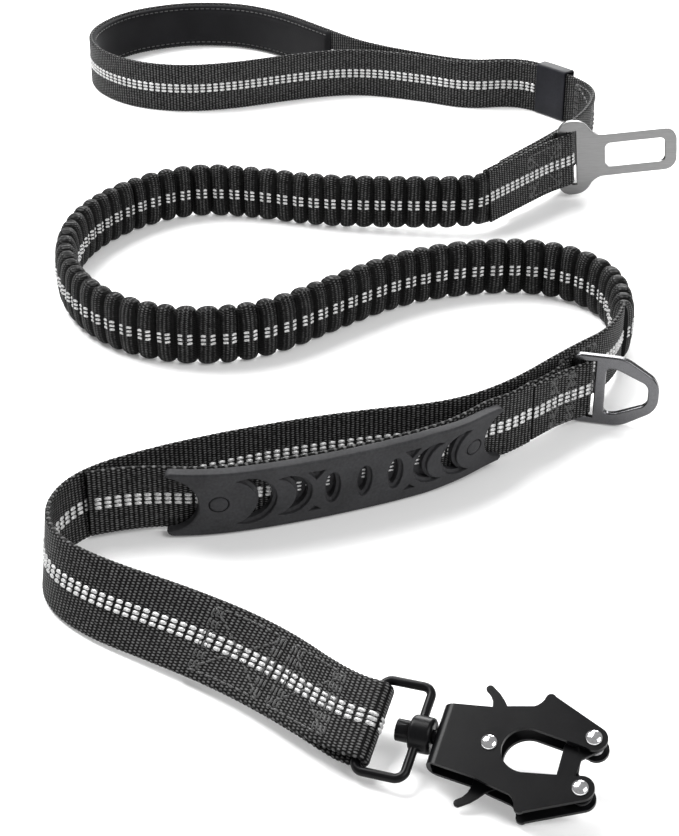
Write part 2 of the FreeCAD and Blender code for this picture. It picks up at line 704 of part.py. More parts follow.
def make_gate(label, sign):
    """A bar across the mouth, hinged at one tip and swinging inwards."""
    steps = flip([
        (21.9, -6.6), (27.2, -6.6), (27.9, 2.0), (32.9, 6.45), (27.9, 10.75, 32.75, 10.9),
        (23.4, 9.2), (21.7, 5.5),
    ], sign)
    body = body_of(label, clip_place())
    hole = circle(GATE_PIVOT_X, sign * GATE_PIVOT_Y, size("gate_rivet_radius") + size("running_gap"))
    low = 0.1
    thick = size("gate_thick")
    offset = low if sign > 0 else -low - thick
    pad(body, outline(steps) + [hole], "Sizes.gate_thick", offset=offset)
    rims(body, "Sizes.gate_rim", (offset, offset + thick))
    top = low + thick
    stub = size("trigger_thick")
    pad(body, [circle(25.57, sign * 7.3, 1.0)], "Sizes.trigger_thick",
        offset=top if sign > 0 else -top - stub)


def coil(x, y, radius, wire, levels):
    """Close turns of spring wire round a rivet, one ring a turn."""
    return [Part.makeTorus(radius, wire, Vector(x, y, z)) for z in levels]


def make_springs():
    turns = coil(0, 0, 2.3, 0.3, [-1.0, -0.35, 0.3, 0.95])
    feature("trigger_spring", Part.makeCompound(turns), clip_place())
    pair = []
    for sign in (1, -1):
        levels = [-sign * z for z in (0.5, 1.1, 1.7, 2.3)]
        pair += coil(GATE_PIVOT_X, sign * GATE_PIVOT_Y, 2.3, 0.27, levels)
    feature("gate_springs", Part.makeCompound(pair), clip_place())


# --- build, check and write ---------------------------------------------------------------------
make_handle()
make_tongue()
make_bungee()
make_lead()
make_d_ring()
make_grip()
make_swivel()
make_clip_body()
make_rivets()
for label, sign in (("trigger_upper", 1), ("trigger_lower", -1)):
    make_trigger(label, sign)
for label, sign in (("gate_upper", 1), ("gate_lower", -1)):
    make_gate(label, sign)
make_springs()
doc.recompute()

os.makedirs("parts", exist_ok=True)
for item in doc.Objects:
    if "Invalid" in item.State or "Error" in item.State:
        raise RuntimeError("%s failed: %s" % (item.Label, item.State))
whole = FreeCAD.BoundBox()
for item in doc.Objects:
    if item.TypeId not in ("PartDesign::Body", "Part::Feature"):
        continue
    if item.Shape.isNull() or not item.Shape.isValid() or not item.Shape.Solids:
        raise RuntimeError("%s has no valid solid" % item.Label)
    item.Shape.exportStep("parts/%s.step" % item.Label)
    whole.add(item.Shape.BoundBox)
    box = item.Shape.BoundBox
    print("%-18s %2d solids %8.0f mm3, z %.2f to %.2f" % (
        item.Label, len(item.Shape.Solids), item.Shape.Volume, box.ZMin, box.ZMax))
print("whole", whole)
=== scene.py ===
"""The looks of a bungee dog leash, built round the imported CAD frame. Metres, the frame's own axes."""
import json
import math
import random

import bmesh
import bpy
import numpy as np
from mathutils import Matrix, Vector
from mathutils.geometry import tessellate_polygon


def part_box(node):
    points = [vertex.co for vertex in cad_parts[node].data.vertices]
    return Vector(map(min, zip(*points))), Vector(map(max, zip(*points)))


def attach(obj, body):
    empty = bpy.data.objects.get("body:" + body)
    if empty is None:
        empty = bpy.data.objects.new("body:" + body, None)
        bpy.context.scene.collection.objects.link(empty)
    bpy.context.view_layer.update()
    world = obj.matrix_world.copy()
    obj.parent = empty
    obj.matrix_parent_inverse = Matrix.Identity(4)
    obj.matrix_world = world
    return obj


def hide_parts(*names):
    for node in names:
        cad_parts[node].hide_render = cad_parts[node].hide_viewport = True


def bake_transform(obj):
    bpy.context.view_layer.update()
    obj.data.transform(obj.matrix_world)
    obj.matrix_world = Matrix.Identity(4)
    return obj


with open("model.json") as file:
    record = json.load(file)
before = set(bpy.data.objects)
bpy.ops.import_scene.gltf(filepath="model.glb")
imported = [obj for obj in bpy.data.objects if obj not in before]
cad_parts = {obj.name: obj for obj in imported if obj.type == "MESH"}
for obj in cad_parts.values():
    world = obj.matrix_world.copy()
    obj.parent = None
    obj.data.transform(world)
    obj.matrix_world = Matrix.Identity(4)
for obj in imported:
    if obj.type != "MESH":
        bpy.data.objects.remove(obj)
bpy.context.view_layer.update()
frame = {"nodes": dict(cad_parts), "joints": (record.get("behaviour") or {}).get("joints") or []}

MM = 0.001
UP = np.array([0.0, 0.0, 1.0])

# Routes of the bands' lower edges: x, y, lift, and lean to the left of travel in degrees.
HANDLE_ROUTE = [
    (0.065, 0.088, 0.004, 0), (0.089, 0.114, 0.006, 0), (0.106, 0.140, 0.005, 0),
    (0.120, 0.173, 0.002, 0), (0.1275, 0.210, 0, 0), (0.099, 0.243, 0, 0), (0.084, 0.251, 0, 0),
    (0.059, 0.2455, 0, 0), (0.030, 0.2605, 0, 0), (-0.005, 0.271, 0, 0), (-0.040, 0.262, 0, 0),
    (-0.074, 0.247, 0, 0), (-0.104, 0.2405, 0, 0), (-0.134, 0.248, 0, 0), (-0.158, 0.272, 0, 0),
    (-0.166, 0.304, 0, 0), (-0.150, 0.339, 0, 0), (-0.122, 0.356, 0, 0), (-0.098, 0.360, 0, 0),
    (-0.074, 0.356, 0, 0), (-0.050, 0.340, 0, 0), (-0.026, 0.312, 0, 0), (-0.001, 0.283, 0, 0),
    (0.031, 0.2644, 0, 0), (0.060, 0.2498, 0, 0), (0.085, 0.2544, 0, 0), (0.101, 0.246, 0, 0),
    (0.109, 0.2367, 0, 0),
]
BUNGEE_ROUTE = [
    (0.0592, 0.0772, 0.0035, 0), (0.049, 0.0718, 0.003, 0), (0.014, 0.0755, 0.0015, 0),
    (-0.026, 0.081, 0, 0), (-0.058, 0.092, 0, 0), (-0.090, 0.096, 0, 0), (-0.119, 0.077, 0, 0),
    (-0.139, 0.045, 0, 0), (-0.1435, 0.008, 0, 0), (-0.133, -0.028, 0, 0), (-0.110, -0.056, 0, 0),
    (-0.078, -0.067, 0, 0), (-0.046, -0.0595, 0, 0), (-0.016, -0.032, 0, 0), (0.014, -0.007, 0, 0),
    (0.048, 0.0045, 0, 0), (0.080, 0.0045, 0, 0), (0.103, -0.013, 0, 0), (0.1105, -0.041, 0, 0),
    (0.1065, -0.065, 0.0005, 0),
]
LEAD_ROUTE = [
    (0.1058, -0.0656, 0.0005, 0), (0.100, -0.089, 0.003, 0), (0.078, -0.1105, 0.004, 0),
    (0.0515, -0.1382, 0.003, 0), (0.027, -0.1485, 0, 0), (-0.008, -0.155, 0, 0),
    (-0.046, -0.1665, 0, 0), (-0.082, -0.183, 0.0001, -3), (-0.109, -0.200, 0.0003, -4),
    (-0.1205, -0.220, 0.00015, 2), (-0.119, -0.243, 0.0003, 12), (-0.104, -0.262, 0.0008, 26),
    (-0.078, -0.2795, 0.0022, 38), (-0.048, -0.3005, 0.0039, 56),
]
STRAP_ROUTE = [
    (0.0607, -0.1368, 0.003, 0), (0.0515, -0.1446, 0.002, 2), (0.042, -0.1485, 0.002, 3),
    (0.026, -0.1615, 0.002, 9), (0.002, -0.174, 0.002, 10), (-0.032, -0.1875, 0.002, 10),
    (-0.064, -0.1965, 0.002, 9), (-0.090, -0.1968, 0.002, 3), (-0.107, -0.2026, 0.0015, 0),
]

WEB_WIDTH, WEB_THICK = 28.0 * MM, 2.2 * MM
RIB_PITCH = 1.85 * MM
DASH_PITCH = 2 * RIB_PITCH
DASH_ROWS = (-1.8 * MM, 0.0, 1.8 * MM)
DOME_RISE = 0.75 * MM

CAMERA_PLACE, CAMERA_TILT, CAMERA_LENS = (-0.015, -0.771, 0.380), 60, 79.45
FLOOR_REACH = 6
SKY_STRENGTH = 0.36
# Each light's name, place, power in watts and width.
LIGHTS = (
    ("key", (-0.7, 0.5, 1.3), 40, 0.9),
    ("fill", (0.9, -0.9, 1.1), 15, 1.0),
    ("rim", (0.3, 1.4, 0.7), 20, 0.8),
)


# --- node materials -----------------------------------------------------------------------------
class Shader:
    """A Principled material with short calls for the nodes that feed it."""

    def __init__(self, name, **sockets):
        self.material = bpy.data.materials.new(name)
        self.material.use_nodes = True
        self.nodes = self.material.node_tree.nodes
        self.links = self.material.node_tree.links
        self.bsdf = self.nodes["Principled BSDF"]
        for socket, value in sockets.items():
            self.bsdf.inputs[socket.replace("_", " ")].default_value = value

    def node(self, kind, **values):
        made = self.nodes.new(kind)
        for key, value in values.items():
            setattr(made, key, value)
        return made

    def math(self, operation, *inputs):
        made = self.node("ShaderNodeMath", operation=operation)
        for socket, value in zip(made.inputs, inputs):
            self.feed(socket, value)
        return made.outputs[0]

    def feed(self, socket, value):
        if isinstance(value, bpy.types.NodeSocket):
            self.links.new(value, socket)
        else:
            socket.default_value = value

    def weave(self):
        """The piece's own coordinates: along, across and crest height, 0 to 1."""
        split = self.node("ShaderNodeSeparateXYZ")
        attribute = self.node("ShaderNodeAttribute", attribute_name="weave")
        self.links.new(attribute.outputs["Vector"], split.inputs[0])
        return split.outputs

    def noise(self, scale, detail=3.0):
        made = self.node("ShaderNodeTexNoise")
        coordinates = self.node("ShaderNodeTexCoord")
        self.links.new(coordinates.outputs["Object"], made.inputs["Vector"])
        made.inputs["Scale"].default_value = scale
        made.inputs["Detail"].default_value = detail
        return made.outputs["Fac"]

    def ramp(self, value, *stops):
        made = self.node("ShaderNodeValToRGB")
        self.links.new(value, made.inputs[0])
        points = made.color_ramp.elements
        while len(points) < len(stops):
            points.new(0.5)
        for point, (place, grey) in zip(points, stops):
            point.position = place
            point.color = (*grey, 1) if isinstance(grey, tuple) else (grey, grey, grey, 1)
        return made.outputs["Color"]

    def colour(self, socket):
        self.links.new(socket, self.bsdf.inputs["Base Color"])

    def rough(self, value, low, high):
        spread = self.node("ShaderNodeMapRange")
        self.links.new(value, spread.inputs["Value"])
        spread.inputs["To Min"].default_value = low
        spread.inputs["To Max"].default_value = high
        self.links.new(spread.outputs[0], self.bsdf.inputs["Roughness"])

    def bump(self, height, distance, strength):
        made = self.node("ShaderNodeBump")
        self.links.new(height, made.inputs["Height"])
        made.inputs["Distance"].default_value = distance
        made.inputs["Strength"].default_value = strength
        self.links.new(made.outputs[0], self.bsdf.inputs["Normal"])


def yarn_material(name, dark, light, bead):
    """Black nylon with a painted highlight on the rib crests, broken into beads where the warp crosses them.
    """
    shader = Shader(name, Roughness=0.5, Specular_IOR_Level=0.1)
    along, across, crest = shader.weave()
    turn = shader.math("MULTIPLY", across, 2 * math.pi / bead)
    shift = shader.math("MULTIPLY", shader.math("FLOOR", shader.math("DIVIDE", along, RIB_PITCH)), math.pi)
    beads = shader.math("MULTIPLY_ADD", shader.math("SINE", shader.math("ADD", turn, shift)), 0.5, 0.5)
    # Painted light: the colour lightens where the crest value is high (a painted highlight on ribs and lobe
    # crests) and stays near black where it is low (painted shade in the ruched sleeve's creases).
    lit = shader.math("MULTIPLY", crest, shader.math("MULTIPLY_ADD", beads, 0.65, 0.35))
    fuzz = shader.noise(900, 2)
    painted_crest_light = shader.math("MULTIPLY", lit, shader.math("MULTIPLY_ADD", fuzz, 1.4, 0.3))
    shader.colour(shader.ramp(painted_crest_light, (0.42, dark), (0.88, light)))
    shader.rough(fuzz, 0.42, 0.62)
    height = shader.math("MULTIPLY_ADD", fuzz, 0.5, shader.math("MULTIPLY", beads, 0.8))
    shader.bump(height, 0.25 * MM, 0.8)
    return shader.material


def reflective_material():
    shader = Shader("reflective_yarn", Roughness=0.35, Metallic=0.25, Specular_IOR_Level=0.7)
    grain = shader.noise(1800, 2)
    shader.colour(shader.ramp(grain, (0.3, 0.28), (0.62, 0.7)))
    shader.bump(grain, 0.12 * MM, 0.6)
    return shader.material


def thread_material():
    shader = Shader("sewing_thread", Roughness=0.42, Specular_IOR_Level=0.6, Sheen_Weight=0.2)
    twist = shader.noise(2200, 2)
    shader.colour(shader.ramp(twist, (0.3, 0.003), (0.7, 0.09)))
    shader.bump(twist, 0.15 * MM, 0.7)
    return shader.material


def soft_material(name, tint, rough, grain, depth, sheen):
    """A matte surface whose grain varies its colour, roughness and relief."""
    shader = Shader(name, Specular_IOR_Level=0.12, Sheen_Weight=sheen, Sheen_Roughness=0.5)
    cloud = shader.noise(60, 4)
    fine = shader.noise(grain, 3)
    darker = tuple(c * 0.75 for c in tint)
    lighter = tuple(c * 1.3 for c in tint)
    mixed = shader.math("MULTIPLY_ADD", cloud, 0.5, shader.math("MULTIPLY", fine, 0.5))
    shader.colour(shader.ramp(mixed, (0.35, darker), (0.65, lighter)))
    shader.rough(fine, rough - 0.08, rough + 0.08)
    shader.bump(fine, depth, 0.7)
    return shader.material


def metal_material(name, tint, rough, metallic=1.0, grain=1500, depth=0.01 * MM):
    shader = Shader(name, Metallic=metallic, Specular_IOR_Level=0.5 if metallic else 0.13)
    fine = shader.noise(grain, 3)
    darker = tuple(c * 0.9 for c in tint)
    lighter = tuple(c * 1.08 for c in tint)
    shader.colour(shader.ramp(fine, (0.3, darker), (0.7, lighter)))
    shader.rough(shader.noise(130, 3), rough - 0.05, rough + 0.06)
    shader.bump(fine, depth, 0.5)
    return shader.material


def brushed_material():
    """Satin steel with fine scratches along the tongue."""
    shader = Shader("satin_steel", Metallic=1.0)
    coordinates = shader.node("ShaderNodeTexCoord")
    stretched = shader.node("ShaderNodeMapping")
    shader.links.new(coordinates.outputs["Object"], stretched.inputs["Vector"])
    stretched.inputs["Scale"].default_value = (60, 2500, 2500)
    brush = shader.node("ShaderNodeTexNoise")
    shader.links.new(stretched.outputs[0], brush.inputs["Vector"])
    brush.inputs["Scale"].default_value = 1.0
    lines = brush.outputs["Fac"]
    shader.colour(shader.ramp(lines, (0.3, 0.17), (0.7, 0.20)))
    shader.rough(lines, 0.30, 0.38)
    shader.bump(lines, 0.004 * MM, 0.4)
    return shader.material


WEBBING = yarn_material("black_webbing", 0.001, 0.12, 1.0 * MM)
RUCHED = yarn_material("ruched_webbing", 0.0008, 0.085, 0.9 * MM)
ELASTIC = soft_material("elastic_core", (0.03, 0.03, 0.03), 0.7, 800, 0.1 * MM, 0.1)
REFLECTIVE = reflective_material()
THREAD = thread_material()
NEOPRENE = soft_material("neoprene_knit", (0.008, 0.008, 0.009), 0.85, 1500, 0.15 * MM, 0.05)
KEEPER = soft_material("keeper_rubber", (0.012, 0.0125, 0.016), 0.5, 700, 0.03 * MM, 0.0)
GRIP = soft_material("grip_rubber", (0.032, 0.032, 0.034), 0.55, 900, 0.04 * MM, 0.0)
RIVET_RUBBER = soft_material("grip_rivet", (0.028, 0.028, 0.03), 0.45, 900, 0.02 * MM, 0.0)
SATIN_STEEL = brushed_material()
GUNMETAL = metal_material("gunmetal", (0.12, 0.12, 0.125), 0.24)
BLACK_METAL = metal_material("black_satin_metal", (0.004, 0.004, 0.0045), 0.3, 0.0, 900, 0.02 * MM)
POLISHED = metal_material("polished_steel", (0.78, 0.78, 0.79), 0.14)
SPRING = metal_material("spring_steel", (0.42, 0.42, 0.43), 0.3)


# --- bands --------------------------------------------------------------------------------------
def unit(vectors):
    return vectors / np.linalg.norm(vectors, axis=-1, keepdims=True)


def smooth_line(points, steps=24):
    """Points of the NURBS line whose control points these are."""
    data = bpy.data.curves.new("route", "CURVE")
    data.dimensions = "3D"
    data.resolution_u = steps
    spline = data.splines.new("NURBS")
    spline.points.add(len(points) - 1)
    for point, place in zip(spline.points, points):
        point.co = (*place, 1.0)
    spline.order_u = 3
    spline.use_endpoint_u = True
    carrier = bpy.data.objects.new("route", data)
    mesh = bpy.data.meshes.new_from_object(carrier)
    line = np.array([v.co for v in mesh.vertices], float)
    bpy.data.objects.remove(carrier)
    bpy.data.meshes.remove(mesh)
    bpy.data.curves.remove(data)
    return line


class Band:
    """A strip's frame at any distance along it: lower edge, heading, width and normal directions."""

    def __init__(self, lower, width):
        steps = np.linalg.norm(np.diff(lower, axis=0), axis=1)
        keep = np.concatenate([[True], steps > 1e-7])
        self.lower, self.width = lower[keep], unit(width[keep])
        steps = np.linalg.norm(np.diff(self.lower, axis=0), axis=1)
        self.run = np.concatenate([[0.0], np.cumsum(steps)])
        self.length = self.run[-1]
        self.heading = unit(np.gradient(self.lower, self.run, axis=0))

    def at(self, along):
        along = np.asarray(along, float)
        over = np.maximum(along - self.length, 0) + np.minimum(along, 0)
        point, heading, width = (
            np.stack([np.interp(along, self.run, field[:, k]) for k in range(3)], axis=-1)
            for field in (self.lower, self.heading, self.width))
        width = unit(width)
        heading = unit(heading - width * np.sum(heading * width, -1, keepdims=True))
        return point + heading * over[..., None], heading, width, np.cross(width, heading)

    def near(self, place):
        """How far along the band its point nearest to (x, y) lies."""
        return self.run[np.argmin(np.linalg.norm(self.lower[:, :2] - np.array(place), axis=1))]

    def face(self, side, lift=WEB_THICK / 2, middle=WEB_WIDTH / 2):
        """A surface over one face: (along, across from the middle) to points and normals."""
        def surface(along, across):
            point, _, width, normal = self.at(along)
            place = point + width * (middle + across)[..., None] + normal * (side * lift)
            return place, normal * side
        return surface


def routed(route, extra=()):
    """A band along a route, and along further control points (lower edge, width direction)."""
    places = np.array([p[:3] for p in route], float)
    headings = unit(np.gradient(places[:, :2], axis=0))
    tilts = np.radians([p[3] for p in route])
    lefts = np.stack([-headings[:, 1], headings[:, 0], np.zeros(len(places))], axis=1)
    widths = UP * np.cos(tilts)[:, None] + lefts * np.sin(tilts)[:, None]
    if extra:
        places = np.concatenate([places, [p for p, _ in extra]])
        widths = np.concatenate([widths, [w for _, w in extra]])
    lower = smooth_line(places)
    upper = smooth_line(places + widths * WEB_WIDTH)
    return Band(lower, upper - lower)


# --- meshes -------------------------------------------------------------------------------------
def piece(name, vertices, faces, material, weave=None):
    mesh = bpy.data.meshes.new(name)
    mesh.from_pydata([tuple(v) for v in vertices], [], faces)
    mesh.update()
    mesh.polygons.foreach_set("use_smooth", [True] * len(mesh.polygons))
    if weave is not None:
        attribute = mesh.attributes.new("weave", "FLOAT_VECTOR", "POINT")
        attribute.data.foreach_set("vector", np.asarray(weave, np.float32).ravel())
    mesh.materials.append(material)
    made = bpy.data.objects.new(name, mesh)
    bpy.context.scene.collection.objects.link(made)
    return made


def ring_faces(rows, ring, base=0):
    """Quads between rows of points, where each row is a closed ring."""
    faces = []
    for i in range(rows - 1):
        a, b = base + i * ring, base + (i + 1) * ring
        faces += [(a + j, a + (j + 1) % ring, b + (j + 1) % ring, b + j) for j in range(ring)]
    return faces


def turned_over(faces):
    """The same quads, facing the other way."""
    return [(a, d, c, b) for a, b, c, d in faces]


def tube(name, points, material, weave=None, hollow=False):
    """A skin over rows of points (rows, ring, 3), capped, or closed into a sleeve if it is hollow."""
    rows, ring = points.shape[:2]
    faces = ring_faces(rows, ring)
    last = (rows - 1) * ring
    if hollow:
        faces += [(last + j, last + (j + 1) % ring, (j + 1) % ring, j) for j in range(ring)]
    else:
        faces.append(tuple(reversed(range(ring))))
        faces.append(tuple(range(last, last + ring)))
    made = piece(name, points.reshape(-1, 3), faces, material, weave)
    edit = bmesh.new()
    edit.from_mesh(made.data)
    bmesh.ops.recalc_face_normals(edit, faces=edit.faces)
    edit.to_mesh(made.data)
    edit.free()
    return made


def flat_section(half_width, half_thick, across=13):
    """A ring (across, out) of a flat strip with half-round edges."""
    half_flat = half_width - half_thick
    straight = np.linspace(-1, 1, across) * half_flat
    turns = np.radians(np.linspace(-90, 90, 6)[1:-1])
    ring = [(x, half_thick) for x in straight]
    ring += [(half_flat + half_thick * math.cos(a), -half_thick * math.sin(a)) for a in turns]
    ring += [(x, -half_thick) for x in straight[::-1]]
    ring += [(-half_flat - half_thick * math.cos(a), half_thick * math.sin(a)) for a in turns]
    return np.array(ring)


def webbing(name, band, thick=WEB_THICK, wide=WEB_WIDTH):
    """Flat webbing with real cross ribs and beaded edges."""
    rows_per_rib, rib_depth = 4, 0.3
    along = np.linspace(0, band.length, int(band.length / RIB_PITCH * rows_per_rib))
    ring = flat_section(wide / 2, thick / 2)
    crest = np.abs(np.sin(np.pi * along / RIB_PITCH)) ** 0.8
    point, _, width, normal = band.at(along)
    swell = (crest - 1) * rib_depth * MM
    out = ring[None, :, 1] + np.sign(ring[None, :, 1]) * swell[:, None]
    across = ring[None, :, 0] * (1 + 1.3 * swell[:, None] / wide)
    places = (point[:, None] + width[:, None] * (wide / 2 + across)[..., None]
              + normal[:, None] * out[..., None])
    weave = np.stack([np.repeat(along[:, None], len(ring), 1), across,
                      np.repeat(crest[:, None], len(ring), 1)], axis=-1)
    made = tube(name, places, WEBBING, weave)
    return made


def domes(name, surface, marks, material, rise=DOME_RISE):
    """Small raised ovals on a surface. A mark is (along, across, angle, half length, half width)."""
    rows, columns = 7, 5
    sunk = 0.25 * MM
    u, v = np.meshgrid(np.linspace(-1, 1, rows), np.linspace(-1, 1, columns), indexing="ij")
    u, v = u.ravel(), v.ravel()
    marks = np.array(marks, float)
    squeeze = np.sqrt(1 - 0.75 * u ** 4)
    long_way = u * marks[:, 3:4]
    short_way = v * squeeze * marks[:, 4:5]
    cos, sin = np.cos(marks[:, 2:3]), np.sin(marks[:, 2:3])
    along = marks[:, 0:1] + long_way * cos - short_way * sin
    across = marks[:, 1:2] + long_way * sin + short_way * cos
    height = np.sqrt(np.maximum(0, 1 - u ** 4)) * np.sqrt(np.maximum(0, 1 - v ** 2)) * rise - sunk
    places, normals = surface(along, across)
    places = places + normals * height[None, :, None]
    corners = [i * columns + j for i in range(rows - 1) for j in range(columns - 1)]
    cell = [(c, c + columns, c + columns + 1, c + 1) for c in corners]
    each = rows * columns
    faces = [tuple(k * each + c for c in quad) for k in range(len(marks)) for quad in cell]
    return piece(name, places.reshape(-1, 3), faces, material)


def dash_marks(first, last, pitch=DASH_PITCH, half_long=1.45 * MM, half_wide=0.78 * MM):
    """Three rows of reflective dashes between two distances along a band."""
    columns = np.arange(first + pitch / 2, last, pitch)
    return [(s, row, 0.0, half_long, half_wide) for s in columns for row in DASH_ROWS]


def stitch_line(start, end, length=2.6 * MM, gap=0.8 * MM, half_wide=0.42 * MM):
    """Marks of one seam between two places (along, across)."""
    start, end = np.array(start), np.array(end)
    total = np.linalg.norm(end - start)
    count = max(1, round(total / (length + gap)))
    angle = math.atan2(*(end - start)[::-1])
    centres = [start + (end - start) * (k + 0.5) / count for k in range(count)]
    return [(s, a, angle, total / count / 2 - gap / 2, half_wide) for s, a in centres]


def box_x(first, last, reach=11.0 * MM, bars=3):
    """A box-X seam with a few bar seams at each end."""
    corners = [(first, -reach), (last, -reach), (last, reach), (first, reach)]
    marks = []
    for k in range(4):
        marks += stitch_line(corners[k], corners[(k + 1) % 4])
    marks += stitch_line(corners[0], corners[2]) + stitch_line(corners[1], corners[3])
    bar_pitch = 1.6
    for k in range(1, bars):
        step = k * bar_pitch * MM
        marks += stitch_line((first + step, -reach), (first + step, reach))
        marks += stitch_line((last - step, -reach), (last - step, reach))
    return marks


def both_faces(name, band, marks, material, body, sides=(1, -1)):
    for side in sides:
        label = name + ("_left" if side > 0 else "_right")
        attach(domes(label, band.face(side), marks, material), body)


# --- camera, floor and light --------------------------------------------------------------------
def make_camera():
    data = bpy.data.cameras.new("camera")
    data.lens = CAMERA_LENS
    camera = bpy.data.objects.new("camera", data)
    camera.location = CAMERA_PLACE
    camera.rotation_euler = (math.radians(CAMERA_TILT), 0, 0)
    bpy.context.scene.collection.objects.link(camera)
    bpy.context.scene.camera = camera


def make_stage():
    pale = Shader("pale_floor", Base_Color=(0.9, 0.9, 0.9, 1), Roughness=0.6,
                  Emission_Color=(1, 1, 1, 1), Emission_Strength=0.12)
    corners = [(x * FLOOR_REACH, y * FLOOR_REACH, 0) for x, y in ((-1, -1), (1, -1), (1, 1), (-1, 1))]
    floor = piece("floor", corners, [(0, 1, 2, 3)], pale.material)
    world = bpy.data.worlds.new("studio")
    bpy.context.scene.world = world
    world.use_nodes = True
    sky = world.node_tree.nodes["Background"]
    sky.inputs["Color"].default_value = (1, 1, 1, 1)
    sky.inputs["Strength"].default_value = SKY_STRENGTH
    for light in LIGHTS:
        area(*light)
    bpy.context.scene.view_settings.view_transform = "Standard"


def area(name, place, power, size):
    """A square light aimed at the origin."""
    data = bpy.data.lights.new(name, "AREA")
    data.energy = power
    data.size = size
    light = bpy.data.objects.new(name, data)
    light.location = place
    light.rotation_euler = (-Vector(place)).to_track_quat("-Z", "Y").to_euler()
    bpy.context.scene.collection.objects.link(light)


make_camera()
make_stage()


# --- hand loop ----------------------------------------------------------------------------------
def joint(name):
    return [j for j in frame["joints"] if j["name"] == name][0]


def make_handle():
    band = routed(HANDLE_ROUTE)
    strip = webbing("handle_band", band)
    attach(strip, "handle_end")
    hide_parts("handle_webbing")
    dashes = dash_marks(band.near((0.104, 0.237)), band.length)
    both_faces("handle_stripe", band, dashes, REFLECTIVE, "handle_end")
    both_faces("handle_seam", band, box_x(104 * MM, 150 * MM), THREAD, "handle_end")
    make_lining(band)
    make_keeper(band)


def make_lining(band):
    """Neoprene sewn inside the far side of the loop: a thin pad, pinched along its seams."""
    first, last = band.near((-0.018, 0.267)), band.near((-0.019, 0.3035))
    along = np.linspace(first, last, 400)
    half, thick = 13.0 * MM, 2.6 * MM
    across = np.linspace(-1, 1, 21)
    seam_place, seam_width, seam_depth = 0.82, 0.05, 0.45
    crown = (1 - across ** 6) ** 0.5
    groove = seam_depth * np.exp(-((np.abs(across) - seam_place) / seam_width) ** 2)
    outer = thick * np.clip(crown - groove, 0, 1)
    point, _, width, normal = band.at(along)
    tip = 3 * MM
    taper = np.clip(np.minimum(along - first, last - along) / tip, 0.25, 1)
    skin = WEB_THICK / 2
    top = [(half * a, -(skin + h)) for a, h in zip(across, outer)]
    back = [(half * a, -skin) for a in across[-2:0:-1]]
    ring = np.array(top + back)
    out = -skin + (ring[None, :, 1] + skin) * taper[:, None]
    places = (point[:, None] + width[:, None] * (WEB_WIDTH / 2 + ring[:, 0])[None, :, None]
              + normal[:, None] * out[..., None])
    pad = tube("hand_lining", places, NEOPRENE)
    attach(pad, "handle_end")
    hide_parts("handle_lining")
    marks = []
    for a in (-seam_place * half, seam_place * half):
        marks += stitch_line((first + tip, a), (last - tip, a))
    seam = domes("lining_seam", band.face(-1, skin + 0.55 * thick), marks, THREAD, 0.6 * MM)
    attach(seam, "handle_end")


def make_keeper(band):
    """A rubber sleeve with soft corners, open at both ends."""
    low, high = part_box("handle_keeper")
    middle = band.near(((low.x + high.x) / 2, (low.y + high.y) / 2))
    half_long = 11.0 * MM
    along = middle + half_long * np.array([-1, -0.985, -0.95, -0.5, 0, 0.5, 0.95, 0.985, 1])
    pinch = np.array([0.4, 0.15, 0, 0, 0, 0, 0, 0.15, 0.4]) * MM
    wall, second_layer, slack = 0.8 * MM, 4.2 * MM, 0.25 * MM
    near, far = -WEB_THICK / 2 - second_layer, WEB_THICK / 2 + slack
    rows = []
    for s, tuck in zip(along, pinch):
        rows.append(keeper_ring(band, s, near - wall + tuck, far + wall - tuck, wall - tuck, 1.4 * MM))
    for s in along[::-1]:
        rows.append(keeper_ring(band, s, near, far, 0.0, 0.6 * MM))
    sleeve = tube("loop_keeper", np.array(rows), KEEPER, hollow=True)
    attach(sleeve, "handle_end")
    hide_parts("handle_keeper")


def keeper_ring(band, along, near, far, grow, radius):
    """One ring round both layers of webbing, with round corners."""
    point, _, width, normal = (f[0] for f in band.at(np.array([along])))
    low, high = 1.2 * MM - grow, WEB_WIDTH + 0.5 * MM + grow
    centres = [(high - radius, far - radius), (low + radius, far - radius),
               (low + radius, near + radius), (high - radius, near + radius)]
    ring = []
    for k, (a, n) in enumerate(centres):
        for turn in np.radians(90 * k + np.linspace(0, 90, 5)):
            across, out = a + radius * math.cos(turn), n + radius * math.sin(turn)
            ring.append(point + width * across + normal * out)
    return ring


# --- webbing folded round a bar -----------------------------------------------------------------
def fold_band(bar, axis, yaw, length, wide):
    """A band that runs up one leg, round the bar and back down the other leg."""
    axis = np.array(axis) * (1 if axis[2] > 0 else -1)
    along = np.array([math.cos(math.radians(yaw)), math.sin(math.radians(yaw)), 0])
    along = unit(along - axis * np.dot(along, axis))
    aside = np.cross(axis, along)
    leg, shoulder, reach, beyond = 1.15 * MM, 2.3 * MM, 3.9 * MM, -4.6 * MM
    half = [(length, leg), (length * 0.55, leg), (15 * MM, leg), (7 * MM, shoulder), (0, reach),
            (beyond, reach)]
    plan = half + [(x, -y) for x, y in reversed(half)]
    base = np.array(bar) - axis * wide / 2
    lower = smooth_line([tuple(base + along * x + aside * y) for x, y in plan], 12)
    return Band(lower, np.repeat(axis[None], len(lower), 0))


